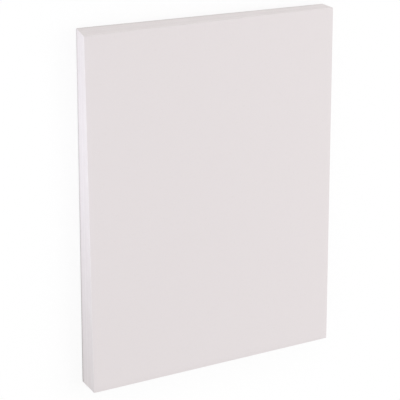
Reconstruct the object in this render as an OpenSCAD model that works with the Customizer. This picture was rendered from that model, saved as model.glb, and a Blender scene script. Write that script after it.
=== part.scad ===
// A pack of plain bristol cards, squared up by hand and lying flat, face to face.
// The origin is under the middle of the pack. +X runs along the cards' short side,
// +Y along their long side towards the head of the sheet, and +Z up through the stack.

/* [Card] */
// Short side of a card, along X
card_w = 215.9; // [70:0.1:320]
// Long side of a card, along Y
card_l = 279.4; // [100:0.1:460]
// Thickness of a card
card_t = 0.38; // [0.15:0.01:1.5]

/* [Pack] */
// Number of cards in the pack
card_count = 50; // [2:1:60]
// How far the top card lies off the bottom one along X, since hand squaring leaves a lean
lean_x = -1.2; // [-6:0.1:6]
// How far the top card lies off the bottom one along Y
lean_y = -1; // [-6:0.1:6]
// Turn of the top card against the bottom one, in degrees
twist = 0.75; // [-3:0.05:3]
// Farthest that squaring up leaves a card out of line along X
stray_x = 0.1; // [0:0.02:1]
// Farthest that squaring up leaves a card out of line along Y
stray_y = 0.12; // [0:0.02:1]
// Turn of the stray's direction from one card to the next, in degrees
stray_turn = 137.5; // [30:0.5:330]

/* [Colour] */
// Colour of the card stock
stock_colour = "#E5DFDF"; // [#E5DFDF:soft white, #F4F1EA:natural white, #EFE3C2:ivory]

/* [Hidden] */
// Names from 1 to 9 take a leading zero, so that the cards list in their order
TWO_DIGITS = 10;
function card_name(n) = str("card_", n < TWO_DIGITS ? "0" : "", n);
// Cards are counted from the bottom of the pack

// Card n's share of the pack's lean and twist, from -1/2 at the bottom to 1/2 at the top
function skew_share(n) = (n - 1) / (card_count - 1) - 1 / 2;

// Where card n lies: its stray is added to the lean, and the cards below it carry it
function card_place(n) = [
    lean_x * skew_share(n) + stray_x * cos(n * stray_turn),
    lean_y * skew_share(n) + stray_y * sin(n * stray_turn),
    (n - 1) * card_t
];

// One card, cut square, with its middle on the Z axis and its underside at Z = 0
module cut_card() {
    translate([-card_w / 2, -card_l / 2, 0])
        cube([card_w, card_l, card_t]);
}

// Card n in its place in the pack
module card(n) {
    color(stock_colour)
        translate(card_place(n))
            rotate(twist * skew_share(n))
                cut_card();
}

for (n = [1 : card_count]) {
    card(n);
}
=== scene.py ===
"""A hand-squared pack of bristol cards lying flat, each card dressed around its own solid."""
import math
import random

import bpy
from mathutils import Matrix, Vector


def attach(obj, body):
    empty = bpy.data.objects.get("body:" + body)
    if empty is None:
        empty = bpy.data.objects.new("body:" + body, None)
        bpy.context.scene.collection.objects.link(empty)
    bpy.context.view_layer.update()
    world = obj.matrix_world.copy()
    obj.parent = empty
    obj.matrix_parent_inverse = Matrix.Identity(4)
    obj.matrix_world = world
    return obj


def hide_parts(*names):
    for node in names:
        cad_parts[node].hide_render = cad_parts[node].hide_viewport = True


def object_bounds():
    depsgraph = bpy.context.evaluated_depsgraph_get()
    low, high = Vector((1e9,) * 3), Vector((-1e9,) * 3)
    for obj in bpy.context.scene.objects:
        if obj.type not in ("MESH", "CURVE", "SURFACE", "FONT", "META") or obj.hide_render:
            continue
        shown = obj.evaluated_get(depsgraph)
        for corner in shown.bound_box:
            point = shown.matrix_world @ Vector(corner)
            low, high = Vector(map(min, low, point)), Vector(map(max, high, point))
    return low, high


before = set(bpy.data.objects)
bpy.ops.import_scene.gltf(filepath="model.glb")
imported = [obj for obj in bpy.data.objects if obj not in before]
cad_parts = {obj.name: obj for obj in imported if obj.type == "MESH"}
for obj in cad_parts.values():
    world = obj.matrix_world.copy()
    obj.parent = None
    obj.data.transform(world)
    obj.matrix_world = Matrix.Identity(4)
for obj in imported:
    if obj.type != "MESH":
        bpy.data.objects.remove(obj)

cad_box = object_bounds()

MM = 0.001
PACK_LOW, PACK_HIGH = cad_box
PACK_LENGTH = PACK_HIGH.y - PACK_LOW.y
CARD_NODES = sorted(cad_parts)
CARD_COUNT = len(CARD_NODES)
CARD_THICKNESS = (PACK_HIGH.z - PACK_LOW.z) / CARD_COUNT

# The knife's work, all of it inside each card's own solid
CUT_STEP = 4.0 * MM                   # spacing of the points along a cut edge
CUT_WANDER = 0.035 * MM               # how far a cut edge drifts inward from straight
CUT_WAVES = (0.021, 0.053, 0.11)      # metres from crest to crest of that drift
CORNER_BLUNTING = 0.12 * MM           # the most that a card's corner is worn back
LEAST_BLUNTING = 0.2                  # share of it at the best kept corner
EDGE_ROUNDING = 0.055 * MM            # how far the pressed lips of a cut edge roll over
ROUNDING_SPREAD = 0.55                # share by which the rolled lip varies along an edge
LIP_WAVES = (0.013, 0.037, 0.19)      # metres from crest to crest of that change
LIP_PROFILE = ((1.0, 0.0), (0.32, 0.32), (0.0, 1.0))  # inset and depth, in roundings
SHARP_TURN = 50.0                     # degrees between two faces that shade as a sharp edge

# How far the faces are from flat, in waves along a card's short side (U) and long side (V)
SEAM_WAVE = 0.012 * MM                # rise and fall of the seam between two cards
SEAM_PACE_U, SEAM_PACE_V = 61.0, 43.0  # radians to a metre
SEAM_TURN_U, SEAM_TURN_V = 2.4, 1.7   # radians from one seam to the next
HOLLOW_DEPTH = 0.03 * MM              # depth of the faint hollows in an outer face
HOLLOW_PACE_U, HOLLOW_PACE_V = 33.0, 27.0  # radians to a metre
HOLLOW_START_U, HOLLOW_START_V = 1.1, 0.4  # radians

# Tones of the stock, as linear colour
STOCK_LIGHT = (0.799, 0.747, 0.752)
STOCK_DEEP = (0.779, 0.728, 0.733)
FIBRE_TONE = (0.640, 0.590, 0.570)
# cut-edge tones, lighter than the face's stock as painted light that brightens the sides; the
# spread between them is the cards' own tone
BRIGHTENED_EDGE_LIGHT = (0.905, 0.865, 0.861)
BRIGHTENED_EDGE_DEEP = (0.765, 0.730, 0.726)
# colour of the painted shade that darkens the lowest cards' edges and the foot's end
EDGE_PAINTED_SHADE = (0.430, 0.415, 0.395)
WHITE = (1.0, 1.0, 1.0)
COOL_WHITE = (0.80, 0.835, 1.0)

# Sizes of the paper's grain, in features to a metre
CLOUDS = 70.0
MOTTLE = 900.0
TOOTH = 2600.0
FIBRE_BENDS = 1100.0
FIBRE_PATCHES = 420.0
KNIFE_STREAKS = 1400.0
CUT_FIBRES = 7000.0

# Stray fibres in the face, as values of the noise that draws them
FIBRE_THINNESS = 0.035                # half the width of a fibre
FIBRES_BEGIN, FIBRES_FULL = 0.56, 0.66

# Shares that the grains have in the change of tone
CLOUD_SHARE, MOTTLE_SHARE, TOOTH_SHARE = 0.45, 0.3, 0.25
CARD_SHARE, RUN_SHARE, STREAK_SHARE, CUT_FIBRE_SHARE = 0.35, 0.35, 0.15, 0.15
FIBRE_SHARE = 0.3                     # how far a stray fibre takes on its own tone
CARDS_PER_RUN = 4.0                   # cards that a drift of the cut edge's shade takes in
RUN_LIGHTEST, RUN_DEEPEST = 0.35, 0.65  # noise at which a run has its lightest and deepest shade

# Feel of the paper
PAPER_IOR = 1.45
FACE_ROUGHNESS, TOOTH_ROUGHNESS = 0.54, 0.16
EDGE_ROUGHNESS, CUT_FIBRE_ROUGHNESS = 0.68, 0.18
FACE_RELIEF, FACE_BUMP = 0.06 * MM, 0.6
EDGE_RELIEF, EDGE_BUMP = 0.04 * MM, 0.5
FIBRE_HEIGHT = 0.15                   # a stray fibre's height, as a share of the relief
STREAK_HEIGHT, CUT_FIBRE_HEIGHT = 0.4, 0.6

# Painted shade on the cut edges, darkest on the lowest cards and towards the foot
PAINTED_SHADE_HEIGHT = 1.9 * MM                # it thins out up to here
PAINTED_SHADE_SHARE = 0.85                     # and covers so much of the lowest card's edge
PAINTED_SHADE_AT_HEAD = 0.65                   # of which the head's end keeps this share
PAINTED_SHADE_ADDED_AT_FOOT = 0.7              # and the foot's end has so much more than the head's
FOOT_PAINTED_SHADE = 0.12                      # share of painted shade all the way up at the foot's end
FOOT_SHADE_GATHERING = 4.0                  # power by which that share draws in to the foot

# The photographer's place, from the pack's middle and the direction square-on to the cards
LEAN_LEFT = 29.79                     # degrees to the left of square-on
LEAN_HEAD = 17.47                     # degrees towards the head of the sheet
CAMERA_DISTANCE = 1205.6 * MM
AIM_RIGHT = -7.01 * MM
AIM_UP = -3.88 * MM
LENS = 138.7                          # mm
PICTURE_WIDTH = 36.0                  # mm behind the lens

# Light, in shares of the level at which white renders as white
SKY_LEVEL = 0.82
FLOOR_SPAN = 6.0                      # metres
SHADE_AT_PACK = 0.18                  # share of its shade that the floor keeps beside the pack
SHADE_FAR_OFF = 0.03                  # and further out
SHADE_REACH = 0.05                    # metres over which the share falls

# The Mix node's sockets for colours, which share their names with its other sockets
MIX_FIRST, MIX_SECOND, MIX_RESULT = 6, 7, 2


def opaque(colour):
    """A colour with its alpha, as a node's socket takes it."""
    return (*colour, 1.0)


class Wire:
    """A node's output, so that shader maths can be written as a Python expression."""

    def __init__(self, maker, socket):
        self.maker = maker
        self.socket = socket

    def __add__(self, other):
        return self.maker.maths("ADD", self, other)

    def __radd__(self, other):
        return self.maker.maths("ADD", other, self)

    def __sub__(self, other):
        return self.maker.maths("SUBTRACT", self, other)

    def __rsub__(self, other):
        return self.maker.maths("SUBTRACT", other, self)

    def __mul__(self, other):
        return self.maker.maths("MULTIPLY", self, other)

    def __rmul__(self, other):
        return self.maker.maths("MULTIPLY", other, self)

    def __truediv__(self, other):
        return self.maker.maths("DIVIDE", self, other)

    def __rtruediv__(self, other):
        return self.maker.maths("DIVIDE", other, self)


class Maker:
    """Adds nodes to one material or world, and hands back their outputs as wires."""

    def __init__(self, tree):
        self.tree = tree
        self.tree.nodes.clear()

    def node(self, kind, settings=None, sockets=None, output=0):
        """A node with its settings made first, and then its sockets' values and links."""
        made = self.tree.nodes.new(kind)
        for name, value in (settings or {}).items():
            setattr(made, name, value)
        for name, value in (sockets or {}).items():
            if isinstance(value, Wire):
                self.tree.links.new(value.socket, made.inputs[name])
            else:
                made.inputs[name].default_value = value
        return Wire(self, made.outputs[output])

    def maths(self, operation, a, b=0.0):
        return self.node("ShaderNodeMath", {"operation": operation}, {0: a, 1: b})

    def ramp(self, value, begin, end, at_begin, at_end, shape="LINEAR"):
        """A change from at_begin to at_end while the value goes from begin to end."""
        return self.node(
            "ShaderNodeMapRange",
            {"interpolation_type": shape},
            {
                "Value": value,
                "From Min": begin,
                "From Max": end,
                "To Min": at_begin,
                "To Max": at_end,
            },
        )

    def grain(self, place, scale, detail=2.0, dimensions="3D"):
        """Soft noise of features 1 / scale metres across, from 0 to 1."""
        socket = "W" if dimensions == "1D" else "Vector"
        return self.node(
            "ShaderNodeTexNoise",
            {"noise_dimensions": dimensions},
            {socket: place, "Scale": scale, "Detail": detail},
        )

    def blend(self, share, first, second):
        """A colour between two, at the given share of the second."""
        pair = [c if isinstance(c, Wire) else opaque(c) for c in (first, second)]
        sockets = {"Factor": share, MIX_FIRST: pair[0], MIX_SECOND: pair[1]}
        return self.node("ShaderNodeMix", {"data_type": "RGBA"}, sockets, output=MIX_RESULT)

    def place(self):
        """The point on the piece, in metres in the part's frame."""
        return self.node("ShaderNodeTexCoord", output="Object")

    def along(self, axis, vector):
        """A vector's X, Y or Z."""
        return self.node("ShaderNodeSeparateXYZ", {}, {0: vector}, output=axis)

    def bump(self, height, strength, depth):
        return self.node(
            "ShaderNodeBump",
            {},
            {"Height": height, "Strength": strength, "Distance": depth},
        )

    def paper(self, colour, roughness, normal):
        return self.node(
            "ShaderNodeBsdfPrincipled",
            {},
            {"Base Color": colour, "Roughness": roughness, "Normal": normal, "IOR": PAPER_IOR},
        )

    def show(self, shader, end="ShaderNodeOutputMaterial"):
        """Makes a shader the surface's own."""
        surface = self.tree.nodes.new(end).inputs["Surface"]
        self.tree.links.new(shader.socket, surface)


def new_material(name):
    material = bpy.data.materials.new(name)
    material.use_nodes = True
    return material, Maker(material.node_tree)


def stray_fibres(m, place):
    """1 along the few wood fibres that show in the face as thin curved threads, otherwise 0."""
    bend = m.grain(place, FIBRE_BENDS, detail=0.0)
    off_thread = m.maths("ABSOLUTE", bend - 0.5) / FIBRE_THINNESS
    thread = 1.0 - m.maths("MINIMUM", off_thread, 1.0)
    gathered = m.grain(place, FIBRE_PATCHES, detail=1.0)
    shown = m.ramp(gathered, FIBRES_BEGIN, FIBRES_FULL, 0.0, 1.0)
    return thread * shown


def card_face_finish():
    """The smooth face of uncoated bristol: faint clouds, a fine felt tooth, a few stray fibres."""
    material, m = new_material("bristol_face")
    place = m.place()
    cloud = m.grain(place, CLOUDS, detail=3.0)
    mottle = m.grain(place, MOTTLE)
    tooth = m.grain(place, TOOTH, detail=4.0)
    fibres = stray_fibres(m, place)
    tone = cloud * CLOUD_SHARE + mottle * MOTTLE_SHARE + tooth * TOOTH_SHARE
    stock = m.blend(tone, STOCK_LIGHT, STOCK_DEEP)
    colour = m.blend(fibres * FIBRE_SHARE, stock, FIBRE_TONE)
    roughness = FACE_ROUGHNESS + tooth * TOOTH_ROUGHNESS
    felt = tooth + fibres * FIBRE_HEIGHT
    m.show(m.paper(colour, roughness, m.bump(felt, FACE_BUMP, FACE_RELIEF)))
    return material


def edge_painted_shade(m, y, z):
    """How much painted shade darkens the cut edges: most on the lowest cards and towards the foot.
    """
    # painted contact shade along the lowest cards' edges, fading out upward
    low = m.ramp(z, 0.0, PAINTED_SHADE_HEIGHT, PAINTED_SHADE_SHARE, 0.0)
    towards_foot = 0.5 - y / PACK_LENGTH
    # painted shade that draws in towards the foot's end
    foot_shade = m.maths("POWER", m.maths("MAXIMUM", towards_foot, 0.0), FOOT_SHADE_GATHERING)
    return low * (PAINTED_SHADE_AT_HEAD + PAINTED_SHADE_ADDED_AT_FOOT * towards_foot) + foot_shade * FOOT_PAINTED_SHADE


def cut_edge_finish():
    """The cut edge: cards and runs of them a shade apart, fine knife streaks, painted shade low
    down.
    """
    material, m = new_material("bristol_cut_edge")
    place = m.place()
    x, y, z = (m.along(axis, place) for axis in "XYZ")
    layer = m.maths("FLOOR", z / CARD_THICKNESS)
    own_shade = m.node("ShaderNodeTexWhiteNoise", {"noise_dimensions": "1D"}, {"W": layer})
    drift = m.grain(layer, 1.0 / CARDS_PER_RUN, detail=0.0, dimensions="1D")
    run_shade = m.ramp(drift, RUN_LIGHTEST, RUN_DEEPEST, 0.0, 1.0)
    streak = m.grain(x + y, KNIFE_STREAKS, detail=3.0, dimensions="1D")
    fibre = m.grain(place, CUT_FIBRES, detail=3.0)
    layers = own_shade * CARD_SHARE + run_shade * RUN_SHARE
    tone = layers + streak * STREAK_SHARE + fibre * CUT_FIBRE_SHARE
    # the edge tones carry painted light on the sides
    edge_tone = m.blend(tone, BRIGHTENED_EDGE_LIGHT, BRIGHTENED_EDGE_DEEP)
    # painted shade: the cut edges darken on the lowest cards and towards the foot
    colour = m.blend(edge_painted_shade(m, y, z), edge_tone, EDGE_PAINTED_SHADE)
    roughness = EDGE_ROUGHNESS + fibre * CUT_FIBRE_ROUGHNESS
    height = streak * STREAK_HEIGHT + fibre * CUT_FIBRE_HEIGHT
    m.show(m.paper(colour, roughness, m.bump(height, EDGE_BUMP, EDGE_RELIEF)))
    return material


def seen_directly(m):
    """1 for the camera's own rays and what gloss or glass shows of them, otherwise 0."""
    camera, gloss, glass = (
        m.node("ShaderNodeLightPath", output=f"Is {kind} Ray")
        for kind in ("Camera", "Glossy", "Transmission")
    )
    return m.maths("MINIMUM", camera + gloss + glass, 1.0)


def white_floor_finish():
    """White paper sweep, exposed to plain white but for the pack's soft shadow close by."""
    material, m = new_material("white_sweep")
    offset = m.node("ShaderNodeVectorMath", {"operation": "ABSOLUTE"}, {0: m.place()})
    beyond_side = m.maths("MAXIMUM", m.along("X", offset) - PACK_HIGH.x, 0.0)
    beyond_end = m.maths("MAXIMUM", m.along("Y", offset) - PACK_HIGH.y, 0.0)
    clearance = beyond_side + beyond_end
    plain_near, plain_far = 1.0 - SHADE_AT_PACK, 1.0 - SHADE_FAR_OFF
    plain_share = m.ramp(clearance, 0.0, SHADE_REACH, plain_near, plain_far, "SMOOTHSTEP")
    share = plain_share * seen_directly(m)
    lit = m.node("ShaderNodeBsdfDiffuse", {}, {"Color": opaque(WHITE)})
    plain = m.node("ShaderNodeEmission", {}, {"Color": opaque(WHITE), "Strength": 1.0})
    m.show(m.node("ShaderNodeMixShader", {}, {0: share, 1: lit, 2: plain}))
    return material


def make_sky():
    """An even studio dome, plain white where it is looked at."""
    world = bpy.data.worlds.new("studio_dome")
    world.use_nodes = True
    m = Maker(world.node_tree)
    strength = SKY_LEVEL + (1.0 - SKY_LEVEL) * seen_directly(m)
    dome = m.node("ShaderNodeBackground", {}, {"Color": opaque(WHITE), "Strength": strength})
    m.show(dome, "ShaderNodeOutputWorld")
    bpy.context.scene.world = world


class Drift:
    """A smooth, repeatable wander along a line, from -1 to 1, made of a few waves."""

    def __init__(self, chance, wavelengths):
        self.waves = [(1.0 / w, chance.uniform(0, math.tau)) for w in wavelengths]

    def at(self, distance):
        total = sum(math.sin(math.tau * pace * distance + phase) for pace, phase in self.waves)
        return total / len(self.waves)


def side_stations(side):
    """The points' places along one side of a card, the two corners included."""
    count = round(side / CUT_STEP)
    return [side * i / count for i in range(count + 1)]


def seam_rise(number, u, v):
    """How far the seam above card number lies from level, which the pack's outer faces are."""
    if number in (0, CARD_COUNT):
        return 0.0
    wave_u = math.sin(u * SEAM_PACE_U + number * SEAM_TURN_U)
    wave_v = math.cos(v * SEAM_PACE_V + number * SEAM_TURN_V)
    return SEAM_WAVE * wave_u * wave_v


class CardPlace:
    """Where a card's solid lies: its corner towards -X and -Y, its sides and its two heights."""

    def __init__(self, node):
        corners = [v.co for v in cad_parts[node].data.vertices]
        self.corner = min(corners, key=lambda c: c.x + c.y).xy
        short_side = max(corners, key=lambda c: c.x - c.y).xy - self.corner
        long_side = max(corners, key=lambda c: c.y - c.x).xy - self.corner
        self.width, self.length = short_side.length, long_side.length
        self.across, self.along = short_side.normalized(), long_side.normalized()
        self.bottom = min(c.z for c in corners)
        self.top = max(c.z for c in corners)

    def point(self, u, v, z):
        """The point u along the short side and v along the long side, at height z."""
        x, y = self.corner + self.across * u + self.along * v
        return x, y, z


class CardShape:
    """The mesh of one card: rings round its cut edge, from the underside up, and two faces."""

    def __init__(self, number, place):
        self.number = number
        self.place = place
        chance = random.Random(number)
        self.cut = [Drift(chance, CUT_WAVES) for side in range(4)]
        self.lip = [Drift(chance, LIP_WAVES) for lip in range(2)]
        self.blunt = [
            chance.uniform(LEAST_BLUNTING, 1.0) * CORNER_BLUNTING for corner in range(4)
        ]
        self.columns = side_stations(place.width)
        self.rows = side_stations(place.length)
        self.verts = []
        self.faces = []
        self.edge_faces = 0

    def outline(self):
        """Points round the card, each with its inward direction and the distance walked."""
        width, length = self.place.width, self.place.length
        sides = (
            [(u, 0, 0, 1) for u in self.columns[:-1]],
            [(width, v, -1, 0) for v in self.rows[:-1]],
            [(u, length, 0, -1) for u in reversed(self.columns[1:])],
            [(0, v, 1, 0) for v in reversed(self.rows[1:])],
        )
        points = []
        for side, places in enumerate(sides):
            for i, (u, v, in_u, in_v) in enumerate(places):
                walked = len(points) * CUT_STEP
                inset = CUT_WANDER * (0.5 + 0.5 * self.cut[side].at(walked))
                if i == 0:
                    before = sides[side - 1][-1]
                    in_u, in_v = in_u + before[2], in_v + before[3]
                    inset += self.blunt[side]
                points.append((u + in_u * inset, v + in_v * inset, in_u, in_v, walked))
        return points

    def ring(self, points, lip, inset_share, depth_share):
        """One loop of the rolled lip: lip 0 is the underside's, 1 the upper side's."""
        start = len(self.verts)
        for u, v, in_u, in_v, walked in points:
            rounding = EDGE_ROUNDING * (1.0 + ROUNDING_SPREAD * self.lip[lip].at(walked))
            seam = self.place.top if lip else self.place.bottom
            seam += seam_rise(self.number - 1 + lip, u, v)
            z = seam - rounding * depth_share if lip else seam + rounding * depth_share
            inset = rounding * inset_share
            self.verts.append(self.place.point(u + in_u * inset, v + in_v * inset, z))
        return list(range(start, len(self.verts)))

    def band(self, lower, upper):
        """The strip of faces between two rings."""
        for i in range(len(lower)):
            j = (i + 1) % len(lower)
            self.faces.append((lower[i], lower[j], upper[j], upper[i]))

    def hollow(self, u, v):
        """The depth of an outer face's faint hollows, none of them at its edge."""
        across = math.sin(math.pi * u / self.place.width)
        along = math.sin(math.pi * v / self.place.length)
        wave_u = math.sin(u * HOLLOW_PACE_U + HOLLOW_START_U)
        wave_v = math.sin(v * HOLLOW_PACE_V + HOLLOW_START_V)
        swell = 0.5 + 0.5 * wave_u * wave_v
        return HOLLOW_DEPTH * across * along * swell

    def outer_face(self, border, upward):
        """A face that shows, as a grid of quads whose rim is the lip's last ring."""
        wide, long = len(self.columns) - 1, len(self.rows) - 1
        grid = {}
        for i in range(wide):
            grid[i, 0] = border[i]
            grid[wide - i, long] = border[wide + long + i]
        for j in range(long):
            grid[wide, j] = border[wide + j]
            grid[0, long - j] = border[2 * wide + long + j]
        for i in range(1, wide):
            for j in range(1, long):
                u, v = self.columns[i], self.rows[j]
                sunk = self.hollow(u, v)
                z = self.place.top - sunk if upward else self.place.bottom + sunk
                grid[i, j] = len(self.verts)
                self.verts.append(self.place.point(u, v, z))
        for i in range(wide):
            for j in range(long):
                quad = (grid[i, j], grid[i + 1, j], grid[i + 1, j + 1], grid[i, j + 1])
                self.faces.append(quad if upward else quad[::-1])

    def inner_face(self, border, upward):
        """A face that lies against the next card, as a fan round its middle."""
        u, v = self.place.width / 2, self.place.length / 2
        seam = self.place.top if upward else self.place.bottom
        middle = len(self.verts)
        self.verts.append(self.place.point(u, v, seam))
        for i in range(len(border)):
            slice_of_fan = (border[i], border[(i + 1) % len(border)], middle)
            self.faces.append(slice_of_fan if upward else slice_of_fan[::-1])

    def build(self):
        """The cut edge from the underside up, then the underside and the upper side."""
        points = self.outline()
        under = [self.ring(points, 0, inset, depth) for inset, depth in LIP_PROFILE]
        over = [self.ring(points, 1, inset, depth) for inset, depth in reversed(LIP_PROFILE)]
        rings = under + over
        for lower, upper in zip(rings, rings[1:]):
            self.band(lower, upper)
        self.edge_faces = len(self.faces)
        underside = self.outer_face if self.number == 1 else self.inner_face
        upper_side = self.outer_face if self.number == CARD_COUNT else self.inner_face
        underside(rings[0], upward=False)
        upper_side(rings[-1], upward=True)


def make_card(number, node, face_finish, edge_finish):
    """Card number, counted from the bottom, in the place of its solid."""
    shape = CardShape(number, CardPlace(node))
    shape.build()
    name = f"bristol_{node}"
    mesh = bpy.data.meshes.new(name)
    mesh.from_pydata(shape.verts, [], shape.faces)
    mesh.materials.append(face_finish)
    mesh.materials.append(edge_finish)
    for face in mesh.polygons:
        on_edge = face.index < shape.edge_faces
        face.material_index = 1 if on_edge else 0
        face.use_smooth = True
    mesh.set_sharp_from_angle(angle=math.radians(SHARP_TURN))
    card = bpy.data.objects.new(name, mesh)
    bpy.context.scene.collection.objects.link(card)
    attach(card, "root")
    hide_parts(node)


def make_floor():
    """The sweep that the pack lies on."""
    half = FLOOR_SPAN / 2
    corners = [(-half, -half, 0), (half, -half, 0), (half, half, 0), (-half, half, 0)]
    mesh = bpy.data.meshes.new("floor")
    mesh.from_pydata(corners, [], [(0, 1, 2, 3)])
    mesh.materials.append(white_floor_finish())
    floor = bpy.data.objects.new("floor", mesh)
    bpy.context.scene.collection.objects.link(floor)


def make_soft_box(name, place, aim, width, height, power, colour=WHITE):
    """A soft box at a place, facing a point of the pack, and out of sight itself."""
    lamp = bpy.data.lights.new(name, "AREA")
    lamp.shape = "RECTANGLE"
    lamp.size = width
    lamp.size_y = height
    lamp.energy = power
    lamp.color = colour
    box = bpy.data.objects.new(name, lamp)
    box.location = place
    box.rotation_euler = (Vector(aim) - Vector(place)).to_track_quat("-Z", "Y").to_euler()
    box.visible_camera = False
    bpy.context.scene.collection.objects.link(box)


def make_lamps():
    """A box to the right, one past the head, and a low cool strip beside the left edge."""
    make_soft_box(
        "right_box",
        place=(0.8, 0.0, 1.0),
        aim=(0, 0, 0),
        width=0.8,
        height=0.8,
        power=3.0,
    )
    make_soft_box(
        "head_box",
        place=(0.1, 0.9, 0.35),
        aim=(0, 0, 0),
        width=0.9,
        height=0.4,
        power=0.59,
    )
    make_soft_box(
        "left_strip",
        place=(-0.32, 0.06, 0.035),
        aim=(-0.10, 0.06, 0.01),
        width=0.13,
        height=0.05,
        power=0.147,
        colour=COOL_WHITE,
    )


def make_camera():
    """The camera leans over the pack from its left and head, with the head upward in view."""
    left, head = math.radians(LEAN_LEFT), math.radians(LEAN_HEAD)
    sideways, squarely = -math.sin(left) * math.cos(head), math.cos(left) * math.cos(head)
    back = Vector((sideways, math.sin(head), squarely))
    right = Vector((0, 1, 0)).cross(back).normalized()
    up = back.cross(right)
    middle = (PACK_LOW + PACK_HIGH) / 2
    place = middle + back * CAMERA_DISTANCE + right * AIM_RIGHT + up * AIM_UP
    data = bpy.data.cameras.new("camera")
    data.lens = LENS
    data.sensor_width = PICTURE_WIDTH
    camera = bpy.data.objects.new("camera", data)
    axes = Matrix((right, up, back)).transposed()
    camera.matrix_world = Matrix.Translation(place) @ axes.to_4x4()
    bpy.context.scene.collection.objects.link(camera)
    bpy.context.scene.camera = camera


make_camera()
face_finish = card_face_finish()
edge_finish = cut_edge_finish()
for number, node in enumerate(CARD_NODES, start=1):
    make_card(number, node, face_finish, edge_finish)
make_floor()
make_sky()
make_lamps()
bpy.context.scene.view_settings.view_transform = "Standard"
